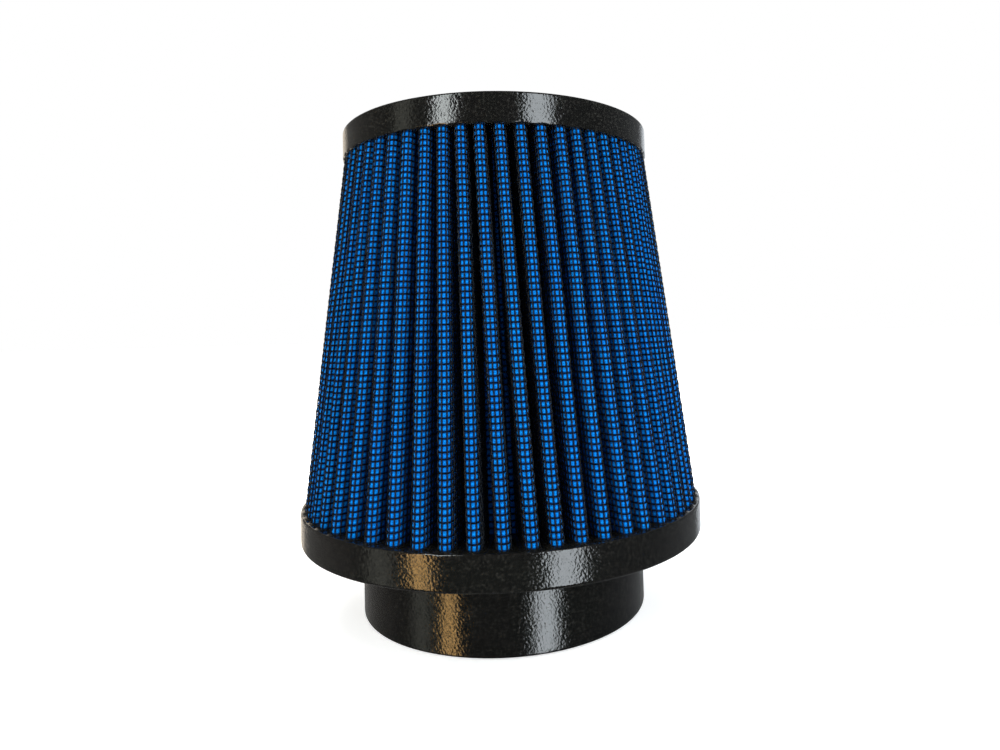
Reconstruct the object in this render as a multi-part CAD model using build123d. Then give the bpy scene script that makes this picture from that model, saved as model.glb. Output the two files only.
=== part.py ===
"""Clamp-on conical air filter: a pleated cotton-gauze cone between two wire screens,
cast into a polyurethane base flange with a neck and a polyurethane top cap, carried on
a perforated steel inner cone.  Millimetres, +Z along the filter axis from the neck's
open end (z = 0) to the top cap.  -Y is the front, the media seam is at the back (+Y)."""

from build123d import *

import math
import os
from types import SimpleNamespace

os.makedirs("parts", exist_ok=True)

# ---------------------------------------------------------------- driving dimensions
# Base flange and neck
NECK_BORE_R = 38.0
NECK_R = 42.8
NECK_LEN = 22.4
NECK_EDGE_R = 0.6
RING_R = 60.3
RING_TOP = 31.3
RING_EDGE_R = 1.0
MOUTH_ROUND_R = 4.0                # where the bore meets the top of the ring

# Top cap
CAP_R = 47.5
CAP_BOTTOM = 134.8
CAP_TOP = 143.1
CAP_EDGE_R = 0.7
RECESS_R = 38.0                    # at the floor of the recess in the cap's top
RECESS_DEPTH = 1.6
RECESS_FLARE = 1.0                 # how much wider the recess is at its rim

# Pleated pack; "base" values hold at the low end and "top" values at the high end
CAST_DEPTH = 5.0                   # how far the pleat ends reach into each moulding
PACK_Z0 = RING_TOP - CAST_DEPTH
PACK_Z1 = CAP_BOTTOM + CAST_DEPTH
TIP_R_BASE, TIP_R_TOP = 59.3, 47.2                # pleat tips at RING_TOP and CAP_BOTTOM
PLEAT_DEPTH = 13.0
TIP_FOLD_R_BASE, TIP_FOLD_R_TOP = 1.95, 1.65      # outer face of the strip, outer folds
VALLEY_FOLD_R_BASE, VALLEY_FOLD_R_TOP = 0.60, 0.35  # outer face of the strip, inner folds
SCREEN_T = 0.42                    # woven wire screen, over the wire crossings
GAUZE_T = 0.115                    # one ply
GAUZE_PLIES = 4
PACK_T = 2 * SCREEN_T + GAUZE_PLIES * GAUZE_T

# Seam between the strip's two ends, and the clip over it
SEAM_HALF_GAP = 0.05
SEAM_DROP = 0.8                    # strip ends stop this far below the pleat tips
SEAM_FOLD_R = PACK_T + SEAM_HALF_GAP
CLIP_T = 0.45
CLIP_LEG = 5.0
CLIP_CLEARANCE = 0.03              # beside the strip
CLIP_HEADROOM = 0.15               # beyond the strip's ends

# Inner cone
CAGE_T = 0.8
CAGE_GAP = 0.15                    # between the cone and the pleat valleys
CAGE_Z0, CAGE_Z1 = 28.0, 137.3
HOLE_ROWS = 13
HOLES_PER_ROW = 20
HOLE_Z0, HOLE_Z1 = 36.0, 130.0     # first and last row
LARGE_HOLE_ROWS = 9                # counted from the base; the rest are smaller
LARGE_HOLE_R = 2.6
SMALL_HOLE_R = LARGE_HOLE_R - 0.35
HOLE_CUTTER_LEN = 4.0

# Cone end disc
DISC_R, DISC_T = 32.4, 0.8
SKIRT_R, SKIRT_T, SKIRT_LEN = 31.4, 0.6, 4.0

# Unevenly spaced pleat tips at the pack's two ends: degrees from -Y towards +X.
BASE_TIP_ANGLES = [
    -54.5, -47.7, -40.9, -34.1, -27.3, -20.5, -13.7, -6.9, -0.1, 6.6, 12.5, 18.7, 25.0, 31.8, 37.8,
    44.6, 50.7, 56.5, 63.0, 69.2, 75.7, 82.1, 88.4, 94.4, 100.9, 106.8, 112.9, 119.1, 125.4, 131.5,
    137.9, 144.4, 150.4, 156.7, 162.6, 168.7, 174.7, 181.2, 187.3, 193.8, 200.2, 206.6, 212.6, 218.6,
    224.9, 230.9, 237.2, 243.4, 249.6, 256.1, 262.3, 268.3, 274.3, 280.5, 286.7, 293.0, 299.2,
]
TOP_TIP_ANGLES = [
    -54.8, -49.1, -43.3, -36.9, -30.7, -23.9, -17.7, -11.5, -5.5, 1.0, 7.8, 14.6, 21.4, 27.6, 33.8,
    39.6, 45.3, 51.1, 57.4, 63.8, 70.3, 76.5, 82.7, 89.1, 95.5, 101.7, 108.1, 114.5, 121.1, 127.3,
    133.7, 139.9, 146.2, 152.3, 158.9, 165.2, 171.8, 178.1, 184.7, 190.9, 197.2, 203.5, 210.1, 216.7,
    223.0, 229.1, 235.5, 241.7, 248.2, 254.8, 261.1, 267.5, 273.6, 279.9, 286.0, 292.4, 298.7,
]
PLEATS = len(BASE_TIP_ANGLES)
SEAM_PLEAT = 37                    # index of the pleat that holds the seam


# ---------------------------------------------------------------- shared geometry
def interpolate(z, z0, value0, z1, value1):
    return value0 + (value1 - value0) * (z - z0) / (z1 - z0)


def tip_radius(z):
    return interpolate(z, RING_TOP, TIP_R_BASE, CAP_BOTTOM, TIP_R_TOP)


def cage_radius(z):
    """Outside radius of the inner cone."""
    return tip_radius(z) - PLEAT_DEPTH - PACK_T - CAGE_GAP


def around_axis(radius, degrees):
    """XY point at an angle from -Y towards +X."""
    angle = math.radians(degrees)
    return (radius * math.sin(angle), -radius * math.cos(angle))


def offset(centre, radius, angle):
    return (centre[0] + radius * math.cos(angle), centre[1] + radius * math.sin(angle))


def closed_polygon(points):
    return Wire([Line(p, q).edge() for p, q in zip(points, points[1:] + points[:1])])


def revolve_profile(draw):
    with BuildPart() as part:
        with BuildSketch(Plane.XZ):
            with BuildLine():
                draw()
            make_face()
        revolve(axis=Axis.Z)
    return part.part


def cage_frustum(z0, z1, inset=0.0):
    """Solid frustum whose side lies inset inside the cone's outer face, measured radially."""
    r0, r1 = cage_radius(z0) - inset, cage_radius(z1) - inset
    return revolve_profile(lambda: Polyline((0, z0), (r0, z0), (r1, z1), (0, z1), close=True))


# ---------------------------------------------------------------- pleat section
def flank_normal(tip, tip_fold_r, valley, valley_fold_r, side):
    """Angle at which a flank, tangent to both folds, touches the tip fold."""
    dx, dy = valley[0] - tip[0], valley[1] - tip[1]
    lean = math.acos((tip_fold_r + valley_fold_r) / math.hypot(dx, dy))
    return math.atan2(dy, dx) + side * lean


def pleat_section(z):
    """Fold centres, fold radii and flank normals at height z, from the seam round to the seam.

    Valley i lies between tips i and i + 1.  leaving[i] is the normal of the flank from
    tip i to valley i, arriving[i] that of the flank from valley i to tip i + 1."""
    tips = [interpolate(z, PACK_Z0, base, PACK_Z1, top)
            for base, top in zip(BASE_TIP_ANGLES, TOP_TIP_ANGLES)]
    angles = tips[SEAM_PLEAT:] + [angle + 360.0 for angle in tips[:SEAM_PLEAT + 1]]
    tip_fold_r = interpolate(z, PACK_Z0, TIP_FOLD_R_BASE, PACK_Z1, TIP_FOLD_R_TOP)
    valley_r = interpolate(z, PACK_Z0, VALLEY_FOLD_R_BASE, PACK_Z1, VALLEY_FOLD_R_TOP)
    outer_r = tip_radius(z)

    tip_r = [SEAM_FOLD_R] + [tip_fold_r] * (PLEATS - 1) + [SEAM_FOLD_R]
    drops = [SEAM_DROP] + [tip_fold_r] * (PLEATS - 1) + [SEAM_DROP]
    tip = [around_axis(outer_r - drop, angle) for drop, angle in zip(drops, angles)]
    valley = [around_axis(outer_r - PLEAT_DEPTH + valley_r, (a + b) / 2)
              for a, b in zip(angles, angles[1:])]
    leaving = [flank_normal(tip[i], tip_r[i], valley[i], valley_r, -1) for i in range(PLEATS)]
    arriving = [flank_normal(tip[i + 1], tip_r[i + 1], valley[i], valley_r, 1)
                for i in range(PLEATS)]
    return SimpleNamespace(tip=tip, tip_r=tip_r, valley=valley, valley_r=valley_r,
                           leaving=leaving, arriving=arriving)


def strip_path(section, depth):
    """The strip's line at a depth below its outer face: (start, mid or None, end) segments."""
    segments = []
    valley_r = section.valley_r + depth
    for i in range(PLEATS):
        tip, next_tip, valley = section.tip[i], section.tip[i + 1], section.valley[i]
        tip_r, next_r = section.tip_r[i] - depth, section.tip_r[i + 1] - depth
        leaving, arriving = section.leaving[i], section.arriving[i]

        angle_in, angle_out = leaving + math.pi, arriving + math.pi
        turn = (angle_in - angle_out) % (2 * math.pi)
        valley_start = offset(valley, valley_r, angle_in)
        valley_mid = offset(valley, valley_r, angle_in - turn / 2)
        valley_end = offset(valley, valley_r, angle_out)
        next_start = offset(next_tip, next_r, arriving)
        segments.append((offset(tip, tip_r, leaving), None, valley_start))
        segments.append((valley_start, valley_mid, valley_end))
        segments.append((valley_end, None, next_start))

        if i + 1 < PLEATS:
            next_leaving = section.leaving[i + 1]
            turn = (next_leaving - arriving) % (2 * math.pi)
            next_mid = offset(next_tip, next_r, arriving + turn / 2)
            segments.append((next_start, next_mid, offset(next_tip, next_r, next_leaving)))
    return segments


def segment_edge(segment, z):
    points = [(*point, z) for point in segment if point is not None]
    curve = Line if len(points) == 2 else ThreePointArc
    return curve(*points).edge()


def strip_wire(z, depth0, depth1):
    section = pleat_section(z)
    out = strip_path(section, depth0)
    back = [(end, mid, start) for start, mid, end in reversed(strip_path(section, depth1))]
    far_end = (out[-1][2], None, back[0][0])
    near_end = (back[-1][2], None, out[0][0])
    return Wire([segment_edge(segment, z) for segment in out + [far_end] + back + [near_end]])


def loft_pack(make_wire):
    return Solid.make_loft([make_wire(PACK_Z0), make_wire(PACK_Z1)], ruled=True)


def strip(depth0, depth1):
    """Pleated layer between two depths below the pack's outer face."""
    return loft_pack(lambda z: strip_wire(z, depth0, depth1))


# ---------------------------------------------------------------- seam clip
def clip_wire(z):
    """Channel over the strip's two ends, its legs pointing towards the axis."""
    section = pleat_section(z)
    inner = SEAM_FOLD_R + CLIP_CLEARANCE
    outer = inner + CLIP_T

    def leg_points(normal, side):
        nx, ny = math.cos(normal), math.sin(normal)
        x, y = section.tip[0]
        corners = [(inner, CLIP_LEG), (outer, CLIP_LEG),
                   (outer, -CLIP_HEADROOM - CLIP_T), (inner, -CLIP_HEADROOM)]
        return [(x + out * nx - side * along * ny, y + out * ny + side * along * nx, z)
                for out, along in corners]

    tip_a, side_a, top_a, crook_a = leg_points(section.leaving[0], 1)
    tip_b, side_b, top_b, crook_b = leg_points(section.arriving[-1], -1)
    return closed_polygon([tip_a, side_a, top_a, top_b, side_b, tip_b, crook_b, crook_a])


# ---------------------------------------------------------------- inner steel cone
def perforate(cone):
    cutters = []
    for row in range(HOLE_ROWS):
        z = HOLE_Z0 + row * (HOLE_Z1 - HOLE_Z0) / (HOLE_ROWS - 1)
        hole_r = LARGE_HOLE_R if row < LARGE_HOLE_ROWS else SMALL_HOLE_R
        for k in range(HOLES_PER_ROW):
            # Alternate rows are staggered by half a pitch.
            angle = 360.0 / HOLES_PER_ROW * (k + 0.5 * (row % 2))
            x, y = around_axis(cage_radius(z) - CAGE_T / 2, angle)
            plane = Plane(origin=(x, y, z), z_dir=(x, y, 0))
            cutters.append(plane * Cylinder(hole_r, HOLE_CUTTER_LEN))
    return cone - cutters


def disc_skirt():
    ring = Cylinder(SKIRT_R, SKIRT_LEN) - Cylinder(SKIRT_R - SKIRT_T, SKIRT_LEN)
    return Pos(0, 0, CAGE_Z1 - SKIRT_LEN / 2) * ring


# ---------------------------------------------------------------- moulding profiles (r, z)
def base_profile():
    edge = RING_EDGE_R
    mouth = MOUTH_ROUND_R
    neck_edge = NECK_EDGE_R
    Line((NECK_BORE_R, 0), (NECK_R - neck_edge, 0))
    RadiusArc((NECK_R - neck_edge, 0), (NECK_R, neck_edge), -neck_edge)
    Line((NECK_R, neck_edge), (NECK_R, NECK_LEN))
    Line((NECK_R, NECK_LEN), (RING_R - edge, NECK_LEN))
    RadiusArc((RING_R - edge, NECK_LEN), (RING_R, NECK_LEN + edge), -edge)
    Line((RING_R, NECK_LEN + edge), (RING_R, RING_TOP))
    Line((RING_R, RING_TOP), (NECK_BORE_R + mouth, RING_TOP))
    RadiusArc((NECK_BORE_R + mouth, RING_TOP), (NECK_BORE_R, RING_TOP - mouth), -mouth)
    Line((NECK_BORE_R, RING_TOP - mouth), (NECK_BORE_R, 0))


def cap_profile():
    edge = CAP_EDGE_R
    rim_r = RECESS_R + RECESS_FLARE
    floor = CAP_TOP - RECESS_DEPTH
    Line((0, CAP_BOTTOM), (CAP_R, CAP_BOTTOM))
    Line((CAP_R, CAP_BOTTOM), (CAP_R, CAP_TOP - edge))
    RadiusArc((CAP_R, CAP_TOP - edge), (CAP_R - edge, CAP_TOP), -edge)
    Line((CAP_R - edge, CAP_TOP), (rim_r, CAP_TOP))
    Line((rim_r, CAP_TOP), (RECESS_R, floor))
    Line((RECESS_R, floor), (0, floor))
    Line((0, floor), (0, CAP_BOTTOM))


# ---------------------------------------------------------------- build and export
pack = strip(0, PACK_T)
clip = loft_pack(clip_wire)
plain_cone = cage_frustum(CAGE_Z0, CAGE_Z1) - cage_frustum(CAGE_Z0, CAGE_Z1, CAGE_T)
disc = Pos(0, 0, CAGE_Z1 + DISC_T / 2) * Cylinder(DISC_R, DISC_T)
# Starts 1 mm below the cap so that the cut passes cleanly through its underside.
cone_space = cage_frustum(CAP_BOTTOM - 1, CAGE_Z1)

nodes = {
    "outer_wire_screen": strip(0, SCREEN_T),
    "inner_wire_screen": strip(PACK_T - SCREEN_T, PACK_T),
    "seam_clip": clip,
    "inner_cone": perforate(plain_cone),
    "cone_end_disc": disc + disc_skirt(),
    "base_flange": revolve_profile(base_profile) - plain_cone - pack - clip,
    "top_cap": revolve_profile(cap_profile) - cone_space - disc - pack - clip,
}
for ply in range(GAUZE_PLIES):
    nodes[f"cotton_gauze_ply_{ply + 1}"] = strip(
        SCREEN_T + ply * GAUZE_T, SCREEN_T + (ply + 1) * GAUZE_T)

for name, shape in nodes.items():
    solids = shape.solids()
    assert len(solids) == 1, f"{name} came out as {len(solids)} solids"
    solid = solids[0]
    solid.label = name
    export_step(solid, f"parts/{name}.step")
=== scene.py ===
"""Looks for the conical air filter: woven wire over blue cotton gauze, glossy cast rubber
mouldings and a perforated steel inner cone.

The filter stands on its neck along +Z, with the neck's mouth at z = 0 and the top cap at 143 mm.
The camera looks from the front (-Y); the pleat strip's seam is at the back (+Y).  Shapes are worked
out in mm and scaled to metres in make_mesh; lights, camera and shader coordinates are in metres.
Angles round the filter run from the front towards +X.
"""

import math
from types import SimpleNamespace

import bmesh
import bpy
import numpy as np
from mathutils import Matrix


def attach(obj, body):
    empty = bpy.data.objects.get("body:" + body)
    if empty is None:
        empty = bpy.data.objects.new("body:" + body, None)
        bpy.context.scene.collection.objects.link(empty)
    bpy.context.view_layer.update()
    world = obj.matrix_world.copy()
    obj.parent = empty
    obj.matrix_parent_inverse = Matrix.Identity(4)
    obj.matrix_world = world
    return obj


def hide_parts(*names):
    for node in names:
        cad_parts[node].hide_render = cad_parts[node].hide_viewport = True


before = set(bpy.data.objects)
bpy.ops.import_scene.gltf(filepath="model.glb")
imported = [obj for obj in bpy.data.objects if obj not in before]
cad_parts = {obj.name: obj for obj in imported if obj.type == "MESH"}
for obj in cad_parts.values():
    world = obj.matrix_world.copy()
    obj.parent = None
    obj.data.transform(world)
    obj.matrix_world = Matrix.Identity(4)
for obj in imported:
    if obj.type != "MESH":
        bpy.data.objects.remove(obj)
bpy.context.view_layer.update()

# ------------------------------------------------------------------ driving dimensions, mm
NECK_BORE_R, NECK_R, NECK_LEN = 38.0, 42.8, 22.4
RING_R, RING_TOP = 60.3, 31.3
CAP_R, CAP_BOT, CAP_TOP = 47.5, 134.8, 143.1
RECESS_R, RECESS = 38.0, 1.6
Z0, Z1 = 26.3, 139.8                  # bottom and top edge of the pleated strip
TIP_R0, TIP_R1 = 59.3, 47.2           # radius over the pleat tips at RING_TOP and CAP_BOT
DEPTH = 13.0                          # pleat depth
TIP_FOLD, VALLEY_FOLD = (1.95, 1.65), (0.60, 0.35)    # fold radii at Z0 and Z1
PACK_T = 1.3                          # thickness of the stacked media
SEAM_GAP, SEAM_DROP = 0.05, 0.8       # half gap between the strip's ends, and how far they sit in
PITCH = 1.5875                        # 16 wires per inch
WIRE_R, CRIMP = 0.165, 0.125
WIRE_SIDES = 5
WIRE_D = 0.21                         # depth of the screen's mid plane below its outer face
CELLS = 19                            # wires across one pleat

# Angle of every pleat tip, degrees, at Z0 and at Z1.
TIPS_Z0 = [
    -54.5, -47.7, -40.9, -34.1, -27.3, -20.5, -13.7, -6.9, -0.1, 6.6, 12.5, 18.7, 25.0, 31.8, 37.8,
    44.6, 50.7, 56.5, 63.0, 69.2, 75.7, 82.1, 88.4, 94.4, 100.9, 106.8, 112.9, 119.1, 125.4, 131.5,
    137.9, 144.4, 150.4, 156.7, 162.6, 168.7, 174.7, 181.2, 187.3, 193.8, 200.2, 206.6, 212.6,
    218.6, 224.9, 230.9, 237.2, 243.4, 249.6, 256.1, 262.3, 268.3, 274.3, 280.5, 286.7, 293.0,
    299.2]
TIPS_Z1 = [
    -54.8, -49.1, -43.3, -36.9, -30.7, -23.9, -17.7, -11.5, -5.5, 1.0, 7.8, 14.6, 21.4, 27.6, 33.8,
    39.6, 45.3, 51.1, 57.4, 63.8, 70.3, 76.5, 82.7, 89.1, 95.5, 101.7, 108.1, 114.5, 121.1, 127.3,
    133.7, 139.9, 146.2, 152.3, 158.9, 165.2, 171.8, 178.1, 184.7, 190.9, 197.2, 203.5, 210.1,
    216.7, 223.0, 229.1, 235.5, 241.7, 248.2, 254.8, 261.1, 267.5, 273.6, 279.9, 286.0, 292.4,
    298.7]
N = len(TIPS_Z0)
SEAM = 37                             # index of the tip where the strip starts and ends


# ------------------------------------------------------------------ the pleated surface
def between(z, z0, v0, z1, v1):
    return v0 + (v1 - v0) * (z - z0) / (z1 - z0)


def tip_radius(z):
    return between(z, RING_TOP, TIP_R0, CAP_BOT, TIP_R1)


def unit(angle):
    return np.stack([np.cos(angle), np.sin(angle)], -1)


def section(z):
    """The strip's outline at height z.  Each pleat has five pieces: half a tip fold, the flank
    going in, the valley fold, the flank coming out and half the next tip fold."""
    f = (z - Z0) / (Z1 - Z0)
    tips = [a + (b - a) * f for a, b in zip(TIPS_Z0, TIPS_Z1)]
    angles = []
    for k in range(N):
        angle = tips[(SEAM + k) % N]
        while angles and angle < angles[-1]:
            angle += 360.0
        angles.append(angle)
    angles.append(angles[0] + 360.0)
    angles = np.radians(np.array(angles))

    fold = between(z, Z0, TIP_FOLD[0], Z1, TIP_FOLD[1])
    valley_r = between(z, Z0, VALLEY_FOLD[0], Z1, VALLEY_FOLD[1])
    outer = tip_radius(z)
    tip_r = np.full(N + 1, fold)
    tip_r[[0, N]] = PACK_T + SEAM_GAP
    reach = np.full(N + 1, outer - fold)
    reach[[0, N]] = outer - SEAM_DROP
    tip = np.stack([reach * np.sin(angles), -reach * np.cos(angles)], 1)
    mid = (angles[:-1] + angles[1:]) / 2
    valley_reach = outer - DEPTH + valley_r
    valley = np.stack([valley_reach * np.sin(mid), -valley_reach * np.cos(mid)], 1)

    def flank(tips, radii, sign):
        """Direction of a flank's normal, and its length, as a tangent to two folds."""
        d = valley - tips
        turn = np.arccos((radii + valley_r) / np.hypot(d[:, 0], d[:, 1]))
        length = np.sqrt(np.maximum(d[:, 0] ** 2 + d[:, 1] ** 2 - (radii + valley_r) ** 2, 0))
        return np.arctan2(d[:, 1], d[:, 0]) + sign * turn, length

    normal_in, len_in = flank(tip[:-1], tip_r[:-1], -1)
    normal_out, len_out = flank(tip[1:], tip_r[1:], 1)
    # one pleat's span ends and the next begins in the middle of the tip fold
    start, end = normal_in.copy(), normal_out.copy()
    turn = (normal_in[1:] - normal_out[:-1]) % (2 * np.pi)
    start[1:] = normal_in[1:] - turn / 2
    end[:-1] = normal_out[:-1] + turn / 2
    valley_turn = (normal_in - normal_out) % (2 * np.pi)
    lengths = np.stack([tip_r[:-1] * np.abs(normal_in - start), len_in, valley_r * valley_turn,
                        len_out, tip_r[1:] * np.abs(end - normal_out)], 1)
    return SimpleNamespace(tip=tip, valley=valley, tip_r=tip_r, valley_r=valley_r,
                           normal_in=normal_in, normal_out=normal_out, start=start, end=end,
                           valley_turn=valley_turn, lengths=lengths)


BOTTOM, TOP = section(Z0), section(Z1)
# where each pleat's pieces start and end, as fractions of the pleat
PIECES = np.cumsum((BOTTOM.lengths + TOP.lengths) / 2, 1)
PIECES = np.concatenate([np.zeros((N, 1)), PIECES], 1)
PIECES /= PIECES[:, -1:]


def on_section(sec, k, piece, t):
    """Point on the outer face and its outward normal, for pleat k at fraction t of a piece."""
    into, out, start, end = sec.normal_in[k], sec.normal_out[k], sec.start[k], sec.end[k]
    n = unit(np.choose(piece, [start + (into - start) * t, into, into - sec.valley_turn[k] * t,
                               out, out + (end - out) * t]))
    tip0 = sec.tip[k] + sec.tip_r[k][..., None] * n
    tip1 = sec.tip[k + 1] + sec.tip_r[k + 1][..., None] * n
    valley = sec.valley[k] - sec.valley_r * n
    t = t[..., None]
    pos = np.choose(piece[..., None], [tip0, tip0 + (valley - tip0) * t, valley,
                                       valley + (tip1 - valley) * t, tip1])
    return pos, n


def surface(s, z):
    """Outer face of the media at strip parameter s (in pleats) and height z: points, normals."""
    s, z = np.broadcast_arrays(np.clip(s, 1e-6, N - 1e-6), z)
    k = np.minimum(s.astype(int), N - 1)
    u = s - k
    edges = PIECES[k]
    piece = np.clip((u[..., None] >= edges[..., 1:5]).sum(-1), 0, 4)
    lo = np.take_along_axis(edges, piece[..., None], -1)[..., 0]
    hi = np.take_along_axis(edges, piece[..., None] + 1, -1)[..., 0]
    t = (u - lo) / np.maximum(hi - lo, 1e-9)
    xy0, n0 = on_section(BOTTOM, k, piece, t)
    xy1, n1 = on_section(TOP, k, piece, t)
    f = ((z - Z0) / (Z1 - Z0))[..., None]
    n = n0 + (n1 - n0) * f
    n /= np.linalg.norm(n, axis=-1, keepdims=True)
    xy = xy0 + (xy1 - xy0) * f
    # the cone's slope tips a normal upward in proportion to how far it faces outward
    radial = xy / np.linalg.norm(xy, axis=-1, keepdims=True)
    slope = (TIP_R0 - TIP_R1) / (CAP_BOT - RING_TOP)
    n = np.concatenate([n, slope * (n * radial).sum(-1, keepdims=True)], -1)
    n /= np.linalg.norm(n, axis=-1, keepdims=True)
    return np.concatenate([xy, z[..., None]], -1), n


# ------------------------------------------------------------------ mesh helpers
def smooth_noise(seed, turns, count=7):
    """A smooth function of (angle, height): a sum of sines with whole turns round the axis."""
    rng = np.random.RandomState(seed)
    k = rng.randint(turns[0], turns[1] + 1, count)
    phase = rng.rand(count) * 6.283
    climb = rng.uniform(-0.5, 0.5, count)
    weight = rng.uniform(0.4, 1.0, count)
    weight = weight / weight.sum()

    def noise(theta, z):
        return sum(weight[i] * np.sin(k[i] * theta + climb[i] * z + phase[i])
                   for i in range(count))

    return noise


def signed_volume(verts, groups):
    volume = 0.0
    for f in groups:
        for c in range(1, f.shape[1] - 1):
            a, b, d = (verts[f[:, q]].astype(float) for q in (0, c, c + 1))
            volume += (a * np.cross(b, d)).sum()
    return volume


def smooth(me):
    me.polygons.foreach_set("use_smooth", np.ones(len(me.polygons), bool))


def make_mesh(name, verts, groups, node, materials, split=0, sheet=None):
    """Make an object from points in mm and face arrays, one array per face size.  Faces from
    index split on take the second material; sheet is a vector attribute for each point."""
    me = bpy.data.meshes.new(name)
    verts = np.asarray(verts, np.float32) * 0.001
    groups = [np.asarray(f, np.int32) for f in groups]
    if signed_volume(verts, groups) < 0:                  # faces point outwards
        groups = [f[:, ::-1].copy() for f in groups]
    sizes = np.concatenate([np.full(len(f), f.shape[1], np.int32) for f in groups])
    loops = np.concatenate([f.ravel() for f in groups])
    me.vertices.add(len(verts))
    me.vertices.foreach_set("co", verts.ravel())
    me.loops.add(len(loops))
    me.loops.foreach_set("vertex_index", loops)
    me.polygons.add(len(sizes))
    starts = np.concatenate([[0], np.cumsum(sizes)[:-1]]).astype(np.int32)
    me.polygons.foreach_set("loop_start", starts)
    me.polygons.foreach_set("loop_total", sizes)
    me.update(calc_edges=True)
    me.validate()
    smooth(me)
    if sheet is not None:
        attribute = me.attributes.new("sheet", "FLOAT_VECTOR", "POINT")
        attribute.data.foreach_set("vector", np.asarray(sheet, np.float32).ravel())
    ob = bpy.data.objects.new(name, me)
    bpy.context.scene.collection.objects.link(ob)
    for material in materials:
        me.materials.append(material)
    if len(materials) > 1:
        index = np.zeros(len(me.polygons), np.int32)
        index[split:] = 1
        me.polygons.foreach_set("material_index", index)
    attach(ob, "root")
    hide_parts(node)
    return ob


def ring_quads(rings, width, closed=False):
    """Quads joining a stack of rings of width points; closed joins the last ring to the first."""
    i = np.arange(rings if closed else rings - 1)[:, None]
    k = np.arange(width)[None]
    i2, k2 = (i + 1) % rings, (k + 1) % width
    corners = [i * width + k, i * width + k2, i2 * width + k2, i2 * width + k]
    return np.stack(corners, -1).reshape(-1, 4)


def wire_tubes(points, normals):
    """Closed tubes along m polylines of n points.  Returns vertices, side quads, end faces."""
    sides = WIRE_SIDES
    m, n = points.shape[:2]
    along = np.gradient(points, axis=1)
    along /= np.linalg.norm(along, axis=-1, keepdims=True)
    across = np.cross(along, normals)
    across /= np.linalg.norm(across, axis=-1, keepdims=True)
    up = np.cross(across, along)
    ring = (np.arange(sides) * 2 * np.pi / sides)[:, None]
    offset = np.cos(ring) * up[:, :, None, :] + np.sin(ring) * across[:, :, None, :]
    verts = (points[:, :, None, :] + offset * WIRE_R).reshape(-1, 3)
    base = (np.arange(m)[:, None, None] * n + np.arange(n - 1)[None, :, None]) * sides
    i = np.arange(sides)[None, None, :]
    j = (i + 1) % sides
    quads = np.stack([base + i, base + sides + i, base + sides + j, base + j], -1).reshape(-1, 4)
    first = (np.arange(m) * n * sides)[:, None]
    k = np.arange(sides)[None, :]
    ends = np.concatenate([first + k, first + (n - 1) * sides + k[:, ::-1]])
    return verts, quads, ends


# ------------------------------------------------------------------ node graphs
class Graph:
    """Short calls for building a node tree; a value may be a number, a tuple or a socket."""

    def __init__(self, tree):
        self.tree = tree

    def put(self, sock, value):
        if isinstance(value, bpy.types.NodeSocket):
            self.tree.links.new(value, sock)
        else:
            sock.default_value = value

    def node(self, kind, inputs=None, **settings):
        node = self.tree.nodes.new(kind)
        for key, value in settings.items():
            setattr(node, key, value)
        for key, value in (inputs or {}).items():
            self.put(node.inputs[key], value)
        return node

    def shade(self, inputs):
        """Set inputs of the material's Principled shader."""
        for key, value in inputs.items():
            self.put(self.tree.nodes["Principled BSDF"].inputs[key], value)

    def coords(self, kind="Object"):
        return self.node("ShaderNodeTexCoord").outputs[kind]

    def split(self, vec):
        return self.node("ShaderNodeSeparateXYZ", {0: vec}).outputs

    def join(self, x, y):
        return self.node("ShaderNodeCombineXYZ", {0: x, 1: y}).outputs[0]

    def math(self, op, *values):
        return self.node("ShaderNodeMath", dict(enumerate(values)), operation=op).outputs[0]

    def times(self, a, b):
        return self.math("MULTIPLY", a, b)

    def add(self, a, b):
        return self.math("ADD", a, b)

    def abs_sine(self, value, rate):
        return self.math("ABSOLUTE", self.math("SINE", self.times(value, rate)))

    def noise(self, vec, scale, detail=2.0, rough=0.5):
        return self.node("ShaderNodeTexNoise", {"Vector": vec, "Scale": scale, "Detail": detail,
                                                "Roughness": rough}).outputs["Fac"]

    def ramp(self, value, span, to=(0.0, 1.0)):
        return self.node("ShaderNodeMapRange", {
            "Value": value, "From Min": span[0], "From Max": span[1],
            "To Min": to[0], "To Max": to[1]}).outputs["Result"]

    def mix(self, fac, a, b):
        return self.node("ShaderNodeMix", {0: fac, 6: a, 7: b}, data_type="RGBA").outputs[2]

    def bump(self, height, strength, distance, normal=None):
        inputs = {"Height": height, "Strength": strength, "Distance": distance}
        if normal is not None:
            inputs["Normal"] = normal
        return self.node("ShaderNodeBump", inputs).outputs["Normal"]


def new_material(name):
    material = bpy.data.materials.new(name)
    material.use_nodes = True
    return material, Graph(material.node_tree)


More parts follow.
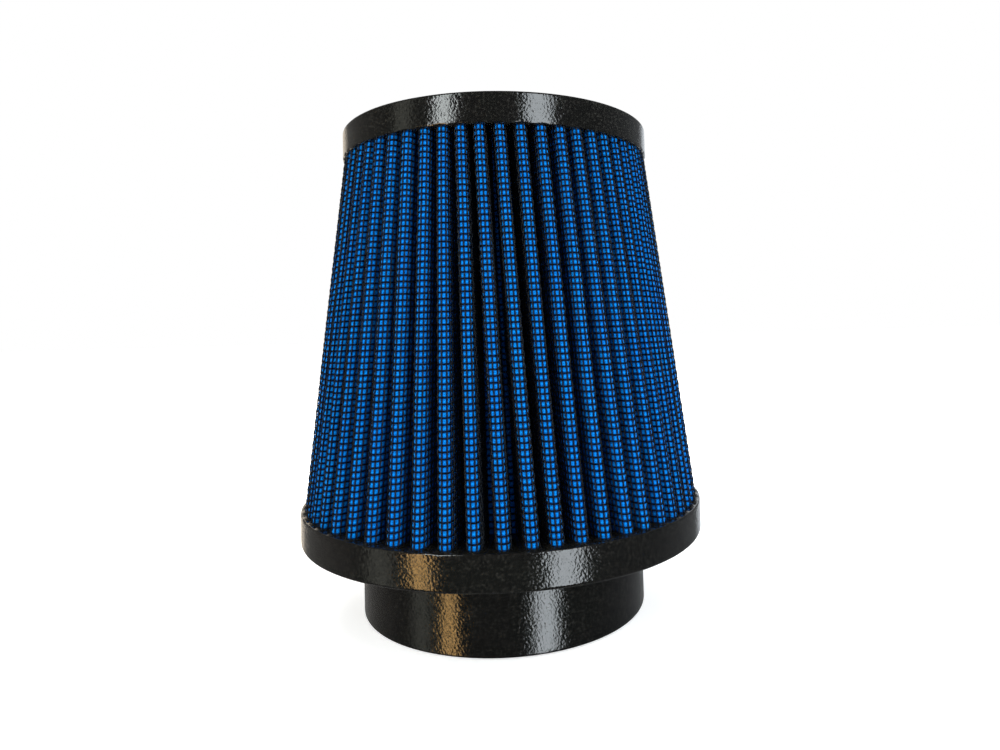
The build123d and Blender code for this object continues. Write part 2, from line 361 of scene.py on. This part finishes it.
# ------------------------------------------------------------------ materials
def rubber_material(name, rough, sway_bump, drag_bump, pebble_bump):
    material, g = new_material(name)
    co = g.coords()
    x, y, z = g.split(co)
    angle = g.math("ARCTAN2", y, x)
    # fine diagonal drag marks left by the mould's release film
    lean, rise, across, along = 0.055, 0.9, 1500.0, 16.0
    diagonal = g.add(g.times(angle, lean), g.times(z, rise))
    drag = g.noise(g.join(g.times(diagonal, across), g.times(angle, along)),
                   scale=1.0, detail=3.0, rough=0.6)
    # turning lines of the mould, about a millimetre apart, running round the part
    per_metre, per_radian = 1100.0, 2.5
    lines = g.noise(g.join(g.times(z, per_metre), g.times(angle, per_radian)),
                    scale=1.0, rough=0.6)
    pebble = g.noise(co, scale=1600.0, detail=1.0)
    sway = g.noise(co, scale=170.0)
    dust = g.noise(co, scale=420.0, detail=5.0, rough=0.7)
    bloom = g.noise(co, scale=60.0, detail=4.0, rough=0.6)
    clean, dusty = (0.0040, 0.0041, 0.0038, 1), (0.011, 0.0106, 0.009, 1)
    speckled = (0.019, 0.0185, 0.016, 1)
    colour = g.mix(g.ramp(dust, span=(0.50, 0.75), to=(0.0, 0.6)), clean, dusty)
    speckle = g.times(g.ramp(pebble, span=(0.52, 0.70)),
                      g.ramp(bloom, span=(0.35, 0.65), to=(0.3, 1.0)))
    dust_rough = g.ramp(dust, span=(0.35, 0.7), to=(rough, rough + 0.04))
    pebble_rough = g.ramp(pebble, span=(0.3, 0.7), to=(-0.02, 0.03))
    normal = g.bump(sway, strength=sway_bump, distance=0.0006)
    normal = g.bump(drag, strength=drag_bump, distance=0.00016, normal=normal)
    normal = g.bump(lines, strength=0.14, distance=0.00016, normal=normal)
    g.shade({"Base Color": g.mix(speckle, colour, speckled),
             "Roughness": g.add(dust_rough, pebble_rough),
             "Specular IOR Level": 0.55,
             "Normal": g.bump(pebble, strength=pebble_bump, distance=0.00022, normal=normal)})
    return material


def wire_material(name, base, worn_colour, specular, painted_bounce_tint):
    material, g = new_material(name)
    co = g.coords()
    coat = g.noise(co, scale=1500.0, detail=3.0, rough=0.6)
    worn = g.noise(co, scale=260.0, detail=4.0, rough=0.6)
    # the specular tint is a painted blue reflection, standing in for light bounced off the gauze
    g.shade({"Base Color": g.mix(g.ramp(worn, span=(0.40, 0.65)), base, worn_colour),
             "Roughness": g.ramp(coat, span=(0.3, 0.7), to=(0.24, 0.42)),
             "Specular IOR Level": specular,
             "Specular Tint": painted_bounce_tint,
             "Normal": g.bump(coat, strength=0.4, distance=0.00005)})
    return material


def gauze_material(name, woven):
    """Blue cotton.  Woven cloth reads "sheet": mm across and up the strip, and channel depth."""
    material, g = new_material(name)
    co = g.coords()
    if woven:
        thread_x, thread_y = 0.64, 0.70                   # thread spacing, mm
        sheet = g.node("ShaderNodeAttribute", attribute_name="sheet").outputs["Vector"]
        sheet_x, sheet_y, down = g.split(sheet)
        wobble = g.noise(co, scale=500.0)
        x = g.add(sheet_x, g.times(wobble, 0.5))          # threads stray by these amounts, mm
        y = g.add(sheet_y, g.times(wobble, -0.4))
        weave = g.math("MAXIMUM", g.abs_sine(x, math.pi / thread_x),
                       g.abs_sine(y, math.pi / thread_y))
    else:
        weave = g.noise(co, scale=3000.0)
    fibre = g.noise(co, scale=4200.0, detail=3.0, rough=0.7)
    stain = g.noise(co, scale=120.0, detail=3.0, rough=0.55)
    # the weave mixes a shaded and a lit copy of the cotton's colour: painted shade between the
    # threads, painted light on the threads
    weave_shade, lit = (0.000, 0.080, 0.36, 1), (0.000, 0.225, 0.72, 1)
    stained, painted_fibre_highlight = (0.000, 0.11, 0.60, 1), (0.01, 0.36, 0.88, 1)
    colour = g.mix(g.ramp(weave, span=(0.35, 0.92)), weave_shade, lit)
    colour = g.mix(g.ramp(stain, span=(0.35, 0.75), to=(0.0, 0.45)), colour, stained)
    # painted highlights on stray fibres
    colour = g.mix(g.ramp(fibre, span=(0.55, 0.8), to=(0.0, 0.35)), colour, painted_fibre_highlight)
    if woven:
        # the two colours below are painted shade: along the wires, and deep in the channels
        painted_wire_shadow, channel = (0.000, 0.028, 0.145, 1), (0.000, 0.014, 0.100, 1)
        channel_shade_amount = 0.72
        # painted contact shadow: the cloth is darker where it runs under a wire
        cell_x = g.abs_sine(sheet_x, math.pi / PITCH)
        cell_y = g.abs_sine(sheet_y, math.pi / PITCH)
        clear = g.times(g.ramp(cell_x, span=(0.30, 0.85)), g.ramp(cell_y, span=(0.30, 0.85)))
        colour = g.mix(clear, painted_wire_shadow, colour)
        # painted shade where the sheet turns into the channels
        colour = g.mix(g.times(down, channel_shade_amount), colour, channel)
    normal = g.bump(weave, strength=0.7, distance=0.00012)
    g.shade({"Base Color": colour,
             "Roughness": 0.8,
             "Specular IOR Level": 0.08,
             "Sheen Weight": 0.06,
             "Sheen Tint": (0.05, 0.45, 1.0, 1),
             "Normal": g.bump(fibre, strength=0.35, distance=0.00005, normal=normal)})
    return material


def screen_sheet_material():
    """The inner screen, seen only through the cone's holes: wire lines over blue media."""
    material, g = new_material("inner_wire_screen")
    x, y, z = g.split(g.coords())
    angle = g.math("ARCTAN2", y, x)
    row_gap = g.abs_sine(z, math.pi * 1000 / PITCH)
    column_gap = g.abs_sine(angle, N * 5.0)
    wire = g.ramp(g.math("MINIMUM", row_gap, column_gap), span=(0.18, 0.34), to=(1.0, 0.0))
    media, coated = (0.0, 0.10, 0.5, 1), (0.016, 0.016, 0.017, 1)
    g.shade({"Base Color": g.mix(wire, media, coated),
             "Roughness": g.ramp(wire, span=(0.0, 1.0), to=(0.8, 0.35)),
             "Normal": g.bump(wire, strength=0.8, distance=0.0001)})
    return material


def steel_material(name, base, rough):
    """Steel brushed along Z, with darker spots."""
    material, g = new_material(name)
    co = g.coords()
    stretch = g.node("ShaderNodeMapping", {0: co, "Scale": (1.0, 1.0, 0.06)}).outputs[0]
    brush = g.noise(stretch, scale=2400.0, detail=4.0, rough=0.6)
    spot = g.noise(co, scale=150.0, detail=4.0, rough=0.6)
    dark = tuple(c * 0.6 for c in base[:3]) + (1,)
    g.shade({"Base Color": g.mix(g.ramp(spot, span=(0.35, 0.7)), base, dark),
             "Metallic": 1.0,
             "Roughness": g.add(g.ramp(brush, span=(0.3, 0.7), to=(-0.06, 0.08)), rough),
             "Normal": g.bump(brush, strength=0.2, distance=0.00006)})
    return material


RUBBER = rubber_material("cast_rubber", rough=0.10, sway_bump=0.05, drag_bump=0.18,
                         pebble_bump=0.29)
CAP_RUBBER = rubber_material("cast_cap_rubber", rough=0.085, sway_bump=0.03, drag_bump=0.10,
                             pebble_bump=0.27)
GAUZE = gauze_material("blue_cotton_gauze", woven=True)
PLY = gauze_material("blue_cotton_gauze_ply", woven=False)
# The up and round wires are one coated wire in two copies: the up wires' lighter colour is painted
# light, the round wires' darker, bluer colour is painted shade with painted blue bounce from the
# gauze
WIRE_UP_PAINTED_LIT = wire_material("coated_wire_up_painted_lit", base=(0.0025, 0.0032, 0.0045, 1),
                        worn_colour=(0.0055, 0.0053, 0.0050, 1), specular=0.28,
                        painted_bounce_tint=(0.75, 0.88, 1.0, 1))
WIRE_ROUND_PAINTED_SHADE = wire_material("coated_wire_round_painted_shade", base=(0.0012, 0.0020, 0.0040, 1),
                           worn_colour=(0.0030, 0.0040, 0.0060, 1), specular=0.14,
                           painted_bounce_tint=(0.50, 0.75, 1.0, 1))
SHEET = screen_sheet_material()
CLIP_STEEL = steel_material("seam_clip_steel", base=(0.55, 0.55, 0.54, 1), rough=0.30)
CONE_STEEL = steel_material("cone_steel", base=(0.50, 0.50, 0.49, 1), rough=0.36)

# CAD pieces that keep their own meshes
for name, material in (("cotton_gauze_ply_2", PLY), ("cotton_gauze_ply_3", PLY),
                       ("cotton_gauze_ply_4", PLY), ("inner_wire_screen", SHEET),
                       ("inner_cone", CONE_STEEL), ("cone_end_disc", CONE_STEEL)):
    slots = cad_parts[name].data.materials
    slots.clear()
    slots.append(material)

# ------------------------------------------------------------------ woven wire screen
WIRES = CELLS * N
ROW_START = RING_TOP - 1.2            # height of row 0, just inside the base casting
ROWS = int((CAP_BOT - RING_TOP + 3.0) / PITCH)
WANDER, DRIFT = 0.9, 0.45             # sideways stray of the wires, in cells
ROW_WAVE = 0.22
drift = smooth_noise(5, (1, 4))
row_wave = smooth_noise(9, (2, 9))
# the screen is cut every three pleats, at the middle of a pleat
CUTS = [0] + [int(CELLS * (0.5 + 3 * q)) for q in range(1, 19)] + [WIRES]


def wire_s(j, z):
    """Strip parameter of wire j (may be fractional) at height z."""
    theta = 2 * np.pi * j / WIRES
    f = (z - Z0) / (Z1 - Z0)
    return (j + WANDER * (f - 0.5) + DRIFT * drift(theta, z * 0.05)) / CELLS


def row_z(i, j):
    """Height of row i (may be fractional) where it meets wire j."""
    theta = 2 * np.pi * j / WIRES
    return ROW_START + PITCH * i + ROW_WAVE * row_wave(theta, i * 0.2)


def up_wires(first, last):
    """Wires that run up the pleats."""
    j = np.arange(max(first, 1), min(last, WIRES - 1))
    jj, ii = np.meshgrid(j, np.arange(-1, ROWS + 2), indexing="ij")
    z = row_z(ii, jj)
    points, normals = surface(wire_s(jj.astype(float), z), z)
    weave = np.where((ii + jj) % 2 == 0, CRIMP, -CRIMP)[..., None]
    return wire_tubes(points + normals * (weave - WIRE_D), normals)


def round_wires(first, last):
    """Wires that follow the folds, two points to a cell, a cell short of the strip's ends."""
    j = np.arange(2 * first, 2 * last + 1) / 2.0
    if first == 0:
        j = j[2:]
    if last == WIRES:
        j = j[:-2]
    ii, jj = np.meshgrid(np.arange(0, ROWS + 1), j, indexing="ij")
    z = row_z(ii, jj)
    points, normals = surface(wire_s(jj, z), z)
    weave = (-CRIMP * np.cos(np.pi * jj) * np.where(ii % 2 == 0, 1, -1))[..., None]
    return wire_tubes(points + normals * (weave - WIRE_D), normals)


for number, (first, last) in enumerate(zip(CUTS[:-1], CUTS[1:]), 1):
    up_verts, up_quads, up_ends = up_wires(first, last)
    verts, quads, ends = round_wires(first, last)
    count = len(up_verts)
    make_mesh(f"wire_screen_{number:02d}", np.concatenate([up_verts, verts]),
              [np.concatenate([up_quads, quads + count]), np.concatenate([up_ends, ends + count])],
              node="outer_wire_screen", materials=(WIRE_UP_PAINTED_LIT, WIRE_ROUND_PAINTED_SHADE),
              split=len(up_quads))

# ------------------------------------------------------------------ outer gauze ply
GAUZE_PARTS = 8
GAUZE_D, GAUZE_BACK = 0.48, 0.53      # depth of its front under a wire, and of its back
PUFF = 0.22                           # how far it puffs out in the middle of a cell
CROWN, CHANNEL = 0.9, 4.2             # radial depth where shading starts, and its further run


def gauze_sheet(part):
    j = np.arange(2 * WIRES + 1)
    inside = (j >= part * 2 * WIRES // GAUZE_PARTS) & (j <= (part + 1) * 2 * WIRES // GAUZE_PARTS)
    j = j[inside] / 2.0
    i = np.arange(-2, 2 * ROWS + 5) / 2.0
    ii, jj = np.meshgrid(i, j, indexing="ij")
    z = row_z(ii, jj)
    points, normals = surface(wire_s(jj, z), z)
    puff = np.abs(np.sin(np.pi * jj) * np.sin(np.pi * ii))
    front = points - normals * (GAUZE_D - PUFF * puff)[..., None]
    back = points - normals * GAUZE_BACK
    # how far the point lies down the channel, eased from 0 on the crown to 1
    radial = np.linalg.norm(points[..., :2], axis=-1)
    down = np.clip((tip_radius(z) - radial - CROWN) / CHANNEL, 0, 1)
    down = down * down * (3 - 2 * down)

    size = ii.size
    grid = np.arange(size).reshape(ii.shape)
    corners = [grid[:-1, :-1].ravel(), grid[:-1, 1:].ravel(), grid[1:, 1:].ravel(),
               grid[1:, :-1].ravel()]
    rim = np.concatenate([grid[0, :], grid[1:, -1], grid[-1, -2::-1], grid[-2:0:-1, 0]])
    after = np.roll(rim, -1)
    faces = [np.stack(corners, 1), np.stack(corners[::-1], 1) + size,
             np.stack([rim, rim + size, after + size, after], 1)]
    sheet = np.stack([jj * PITCH, ii * PITCH, down], -1).reshape(-1, 3)
    make_mesh(f"gauze_sheet_{part + 1}",
              np.concatenate([front.reshape(-1, 3), back.reshape(-1, 3)]), faces,
              node="cotton_gauze_ply_1", materials=(GAUZE,),
              sheet=np.concatenate([sheet, sheet]))


for part in range(GAUZE_PARTS):
    gauze_sheet(part)

# ------------------------------------------------------------------ seam clip
# A folded steel channel over the strip's two ends, with flared lips and pinched at every crimp.
CLIP_T, CLIP_LEG, CLIP_CORNER = 0.45, 5.0, 0.42
CLIP_HALF = PACK_T + SEAM_GAP + 0.03  # half the width inside
CLIP_ROOF = 0.15                      # inside of the roof beyond the strip's end
FLARE, FLARE_LEN = 0.10, 0.7          # of the lips
LIP_RISE, LIP_REACH = 0.1, 0.18       # the rounded edge of a lip
PINCH, PINCH_AT, PINCH_HALF = 0.16, 2.6, 1.9          # depth, place down the leg, half length
CRIMP_Z, CRIMP_PITCH = 40.0, 9.0


def clip_ring(z):
    """The clip's outline at height z: over the outside, then back along the inside."""
    f = (z - Z0) / (Z1 - Z0)
    end = BOTTOM.tip[0] + (TOP.tip[0] - BOTTOM.tip[0]) * f
    a1 = BOTTOM.normal_in[0] + (TOP.normal_in[0] - BOTTOM.normal_in[0]) * f
    turn = (TOP.normal_out[-1] - BOTTOM.normal_out[-1] + np.pi) % (2 * np.pi) - np.pi
    a2 = BOTTOM.normal_out[-1] + turn * f
    pinch = PINCH * (0.5 + 0.5 * np.cos(2 * np.pi * (z - CRIMP_Z) / CRIMP_PITCH)) ** 6
    # sideways direction of each leg, and the direction down it towards the axis
    side1, side2 = unit(a1), unit(a2)
    down1, down2 = np.array([-side1[1], side1[0]]), np.array([side2[1], -side2[0]])
    out = -(down1 + down2) / np.linalg.norm(down1 + down2)

    def leg(side, down, base, from_s, to_s):
        points = []
        for s in np.linspace(from_s, to_s, 12):
            lip = FLARE * max(0.0, (s - (CLIP_LEG - FLARE_LEN)) / FLARE_LEN)
            nip = pinch * max(0.0, 1 - abs(s - PINCH_AT) / PINCH_HALF)
            points.append(end + side * (base + lip - nip) + down * s)
        return points

    def corner(side, d0, d1):
        inset = CLIP_T - CLIP_CORNER
        centre = end + side * (CLIP_HALF + inset) + out * (CLIP_ROOF + inset)
        blend = [d0 * (1 - q) + d1 * q for q in np.linspace(0, 1, 6)]
        return [centre + CLIP_CORNER * d / np.linalg.norm(d) for d in blend]

    def lip_edge(side, down):
        return [end + side * (CLIP_HALF + CLIP_T * 0.5 + LIP_RISE) + down * (CLIP_LEG + LIP_REACH)]

    outside = CLIP_HALF + CLIP_T
    points = (leg(side1, down1, outside, CLIP_LEG, 0.2)
              + corner(side1, side1, out) + corner(side2, out, side2)
              + leg(side2, down2, outside, 0.2, CLIP_LEG)
              + lip_edge(side2, down2)
              + leg(side2, down2, CLIP_HALF, CLIP_LEG, 0.0)
              + leg(side1, down1, CLIP_HALF, 0.0, CLIP_LEG)
              + lip_edge(side1, down1))
    return np.concatenate([np.array(points), np.full((len(points), 1), z)], 1)


rings = np.array([clip_ring(z) for z in np.linspace(RING_TOP - 2.0, CAP_BOT + 2.0, 521)])
height, width = rings.shape[:2]
lids = np.stack([np.arange(width)[::-1], np.arange(width) + (height - 1) * width])
make_mesh("seam_channel", rings.reshape(-1, 3), [ring_quads(height, width), lids],
          node="seam_clip", materials=(CLIP_STEEL,))

# ------------------------------------------------------------------ cast mouldings
TURN = N * 14                         # points round a moulding
THETA = (np.arange(TURN) * 2 * np.pi / TURN)[None]
slow_wobble, quick_wobble = smooth_noise(21, (3, 11)), smooth_noise(22, (30, 90), 9)
rim_swell, rim_ripple = smooth_noise(23, (20, 60), 9), smooth_noise(24, (70, 170), 9)


def near_media(r, z):
    """Distance from each (radius, angle) to the pleated sheet at height z."""
    s = np.arange(0, N, 1 / 30.0)
    line = surface(s, np.full_like(s, z))[0][:, :2]
    r = r[:, None]
    points = np.stack([r * np.sin(THETA), -r * np.cos(THETA)], -1).reshape(-1, 2)
    out = np.empty(len(points))
    for k in range(0, len(points), 4000):
        d = points[k:k + 4000, None, :] - line[None]
        out[k:k + 4000] = np.sqrt((d ** 2).sum(-1).min(1))
    return out.reshape(len(r), TURN)


def arc(centre, r, a0, a1, n):
    return [(centre[0] + r * math.cos(t), centre[1] + r * math.sin(t))
            for t in np.radians(np.linspace(a0, a1, n))]


def steps(a, b, n):
    return [(a[0] + (b[0] - a[0]) * t, a[1] + (b[1] - a[1]) * t) for t in np.linspace(0, 1, n)]


def join_profile(before, rim, face, after):
    """The whole (radius, z) profile, and which of its rows are the rim and the cast face."""
    rim_rows = slice(len(before), len(before) + len(rim))
    face_rows = slice(rim_rows.stop, rim_rows.stop + len(face))
    return np.array(before + rim + face + after), rim_rows, face_rows


def wobble(profile, amount):
    z = profile[:, 1:]
    return amount * (0.7 * slow_wobble(THETA, z * 0.3) + 0.10 * quick_wobble(THETA, z * 1.2))


def turned(name, profile, dr, dz, closed, node, material):
    """A surface of revolution, moved by (dr, dz) at every profile point and angle."""
    r, z = profile[:, :1] + dr, profile[:, 1:] + dz
    apart = np.hypot(r - np.roll(r, 1, 0), z - np.roll(z, 1, 0)).max(1) > 1e-4
    r, z = r[apart], z[apart]                             # doubled profile points are dropped
    verts = np.stack([r * np.sin(THETA), -r * np.cos(THETA), z], -1).reshape(-1, 3)
    return make_mesh(name, verts, [ring_quads(len(r), TURN, closed)], node=node,
                     materials=(material,))


def fill_holes(me):
    bm = bmesh.new()
    bm.from_mesh(me)
    bmesh.ops.holes_fill(bm, edges=[e for e in bm.edges if e.is_boundary], sides=0)
    bm.to_mesh(me)
    bm.free()
    smooth(me)


def base_moulding():
    """Neck, ring, the cast face the pleats stand in, and the mouth of the bore."""
    lip, foot, fillet, corner, rim_r, mouth = 0.5, 0.6, 0.7, 1.0, 0.45, 4.0     # radii
    side = (steps((NECK_BORE_R, 14), (NECK_BORE_R, lip), 6)
            + arc((NECK_BORE_R + lip, lip), lip, 180, 270, 5)
            + steps((NECK_BORE_R + 1.2, 0), (NECK_R - 1.2, 0), 4)
            + arc((NECK_R - foot, foot), foot, -90, 0, 6)
            + steps((NECK_R, 1.6), (NECK_R, NECK_LEN - 1.2), 14)
            + arc((NECK_R + fillet, NECK_LEN - fillet), fillet, 180, 90, 6)
            + steps((NECK_R + 2.0, NECK_LEN), (RING_R - 2.0, NECK_LEN), 6)
            + arc((RING_R - corner, NECK_LEN + corner), corner, -90, 0, 8)
            + steps((RING_R, NECK_LEN + 1.8), (RING_R, RING_TOP - 0.9), 8))
    rim = arc((RING_R - rim_r, RING_TOP - 0.35), rim_r, 0, 90, 6)
    face = steps((RING_R - 0.7, RING_TOP), (45.3, RING_TOP), 34)
    bore = (steps((44.2, RING_TOP), (NECK_BORE_R + 4.4, RING_TOP), 3)
            + arc((NECK_BORE_R + mouth, RING_TOP - mouth), mouth, 90, 180, 10)
            + steps((NECK_BORE_R, RING_TOP - 6), (NECK_BORE_R, 15), 4))
    profile, rim_rows, face_rows = join_profile(side, rim, face, bore)
    face_r = profile[face_rows, 0]
    dr = wobble(profile, 0.10)
    dr[face_rows] = 0
    dz = np.zeros_like(dr)
    # the resin climbs the wires as it sets
    climb = 0.75 * np.exp(-np.maximum(near_media(face_r, RING_TOP) - 0.1, 0) / 0.45)
    dz[face_rows] = climb + 0.05 * rim_ripple(THETA, face_r[:, None])
    swell, lift = 0.16 * rim_swell(THETA, 0), 0.12
    dz[rim_rows] = swell + 0.05 * rim_ripple(THETA, 0) + lift
    dz[face_rows] += np.clip((face_r - 58.6) / 1.2, 0, 1)[:, None] * (swell + lift)
    turned("base_moulding", profile, dr, dz, closed=True, node="base_flange", material=RUBBER)


def top_moulding():
    """Recessed lid, rim, side, and the cast underside round the pleats."""
    floor_z, hub = CAP_TOP - RECESS, 1.5                  # hub: radius where the surface starts
    fillet, lip, corner, rim_r = 0.8, 0.6, 0.7, 0.4       # radii
    lid = (steps((hub, floor_z), (RECESS_R - 1.8, floor_z), 14)
           + arc((RECESS_R - 0.8, floor_z + fillet), fillet, -90, -25, 6)
           + arc((RECESS_R + 1.5, CAP_TOP - lip), lip, 155, 90, 6)
           + steps((RECESS_R + 2.3, CAP_TOP), (CAP_R - 1.4, CAP_TOP), 8)
           + arc((CAP_R - corner, CAP_TOP - corner), corner, 90, 0, 8)
           + steps((CAP_R, CAP_TOP - 1.5), (CAP_R, CAP_BOT + 1.0), 8))
    rim = arc((CAP_R - rim_r, CAP_BOT + rim_r), rim_r, 0, -90, 6)
    face = steps((CAP_R - 0.6, CAP_BOT), (33.2, CAP_BOT), 34)
    inside = (steps((33.0, CAP_BOT + 0.5), (33.0, CAP_BOT + 3.3), 3)
              + steps((31.0, CAP_BOT + 3.5), (hub, CAP_BOT + 3.5), 6))
    profile, rim_rows, face_rows = join_profile(lid, rim, face, inside)
    face_r = profile[face_rows, 0]
    dr = wobble(profile, 0.08) * np.clip((profile[:, :1] - 20) / 20, 0, 1)
    dr[face_rows] = 0
    dz = np.zeros_like(dr)
    dz[face_rows] = -0.25 * np.exp(-np.maximum(near_media(face_r, CAP_BOT) - 0.1, 0) / 0.4)
    # the lower edge lifts over each pleat tip
    at_tip = np.exp(-np.maximum(near_media(np.array([CAP_R]), CAP_BOT) - 0.25, 0) / 0.7)
    edge = (0.42 * at_tip - 0.16 + 0.16 * rim_swell(THETA + 1.0, 3.0)
            + 0.10 * rim_ripple(THETA, 2.0))
    dz[rim_rows] = edge
    dz[face_rows] += np.clip((face_r - 46.2) / 0.7, 0, 1)[:, None] * edge
    ob = turned("top_moulding", profile, dr, dz, closed=False, node="top_cap",
                material=CAP_RUBBER)
    fill_holes(ob.data)


base_moulding()
top_moulding()

# ------------------------------------------------------------------ stage, light, camera; metres
scene = bpy.context.scene


def add_floor():
    me = bpy.data.meshes.new("floor")
    me.from_pydata([(-4, -3, 0), (4, -3, 0), (4, 5, 0), (-4, 5, 0)], [], [(0, 1, 2, 3)])
    floor = bpy.data.objects.new("floor", me)
    floor.location.z = -0.0004
    scene.collection.objects.link(floor)
    material, g = new_material("pale_floor")
    patches = g.noise(g.coords(), scale=9.0, detail=3.0)
    # only the camera sees the glow, which strengthens away from the filter
    distance = g.node("ShaderNodeVectorMath", {0: g.coords()}, operation="LENGTH").outputs["Value"]
    glow = g.ramp(distance, span=(0.06, 0.30), to=(0.60, 1.0))
    seen = g.node("ShaderNodeLightPath").outputs["Is Camera Ray"]
    g.shade({"Base Color": g.mix(patches, (0.86, 0.86, 0.86, 1), (0.90, 0.90, 0.90, 1)),
             "Roughness": 0.85,
             "Emission Color": (1, 1, 1, 1),
             "Emission Strength": g.times(glow, seen)})
    me.materials.append(material)
    floor.visible_glossy = False


def add_world():
    """White to the camera; a dim light, warm at -X, cool at +X and stronger from the back."""
    world = bpy.data.worlds.new("studio")
    world.use_nodes = True
    scene.world = world
    world.node_tree.nodes.clear()
    g = Graph(world.node_tree)
    warm, cool = (0.90, 0.86, 0.80, 1), (0.82, 0.87, 0.92, 1)
    x, y, _ = g.split(g.coords("Generated"))
    white = g.node("ShaderNodeBackground", {0: (1, 1, 1, 1), 1: 1.0})
    light = g.node("ShaderNodeBackground", {
        0: g.mix(g.ramp(x, span=(-1.0, 1.0)), warm, cool),
        1: g.ramp(y, span=(-0.2, 0.9), to=(0.07, 0.26))})
    seen = g.node("ShaderNodeLightPath").outputs["Is Camera Ray"]
    mixer = g.node("ShaderNodeMixShader", {0: seen, 1: light.outputs[0], 2: white.outputs[0]})
    g.node("ShaderNodeOutputWorld", {0: mixer.outputs[0]})


def area_light(name, power, width, height=None, colour=None, glossy=False):
    """An area light the camera can't see: square unless a height is given."""
    light = bpy.data.lights.new(name, "AREA")
    light.size, light.energy = width, power
    if height is not None:
        light.shape, light.size_y = "RECTANGLE", height
    if colour is not None:
        light.color = colour
    ob = bpy.data.objects.new(name, light)
    scene.collection.objects.link(ob)
    ob.visible_camera = False
    ob.visible_glossy = glossy
    return ob


# Upright panels facing the axis: name, angle round the filter (degrees), distance, z, width,
# height, power (W), colour, seen in reflections.
PANELS = [
    ("cool_panel", 30, 0.70, 0.10, 0.20, 1.10, 5.5, (0.88, 0.95, 1.0), True),
    ("warm_panel", -43, 0.70, -0.18, 0.085, 0.70, 1.75, (1.0, 0.60, 0.22), True),
    ("left_upper_panel", -35.5, 0.80, 0.50, 0.145, 0.60, 2.75, (0.93, 1.0, 0.99), True),
    ("left_strip", -66, 0.75, 0.10, 0.17, 1.30, 0.40, (0.98, 1.0, 0.86), True),
    ("back_left_panel", -156, 0.75, 0.07, 0.40, 0.62, 0.66, (1.0, 0.86, 0.68), True),
    ("back_right_panel", 156, 0.75, 0.07, 0.40, 0.62, 0.66, (0.88, 0.94, 1.0), True),
    ("side_right_panel", 92, 0.75, 0.40, 0.50, 0.50, 3.2, (0.90, 0.96, 1.0), False),
    ("side_left_panel", -96, 0.75, 0.40, 0.40, 0.50, 1.6, (1.0, 0.94, 0.86), False),
]
# Tilted lights: name, place, turn about X (degrees), power (W), width, height.
TILTED = [
    ("overhead", (0.0, -0.25, 0.95), -14, 9.5, 0.9, 0.9),
    ("overhead_back", (0.0, 0.75, 0.70), -50, 9.0, 0.8, 0.6),
    # weak, so that the channels are not pitch black
    ("front_fill", (0.0, -0.2175, 0.0826), 90, 0.038, 0.06, None),
]


def add_lights():
    for name, azimuth, distance, z, width, height, power, colour, glossy in PANELS:
        ob = area_light(name, power, width, height, colour, glossy)
        s, c = math.sin(math.radians(azimuth)), math.cos(math.radians(azimuth))
        # the lamp's +Z points away from the filter and its +Y points up
        ob.matrix_world = Matrix([[c, 0, s, s * distance], [s, 0, -c, -c * distance],
                                  [0, 1, 0, z], [0, 0, 0, 1]])
    for name, place, tilt, power, width, height in TILTED:
        ob = area_light(name, power, width, height)
        ob.location = place
        ob.rotation_euler = (math.radians(tilt), 0, 0)


def add_camera():
    data = bpy.data.cameras.new("camera")
    cam = bpy.data.objects.new("camera", data)
    # columns: the camera's right, up and backward directions, then its place
    cam.matrix_world = Matrix([[0.99798467, 0.02258074, -0.05930189, 0.0],
                               [-0.05812071, -0.04979387, -0.99706698, -0.217477],
                               [-0.02546738, 0.99850422, -0.04838111, 0.082626],
                               [0, 0, 0, 1]])
    data.sensor_width, data.lens = 36.0, 24.468
    data.shift_x, data.shift_y = -0.03944, -0.08033
    data.clip_start = 0.01
    scene.collection.objects.link(cam)
    scene.camera = cam


add_floor()
add_world()
add_lights()
add_camera()
scene.view_settings.view_transform = "Standard"
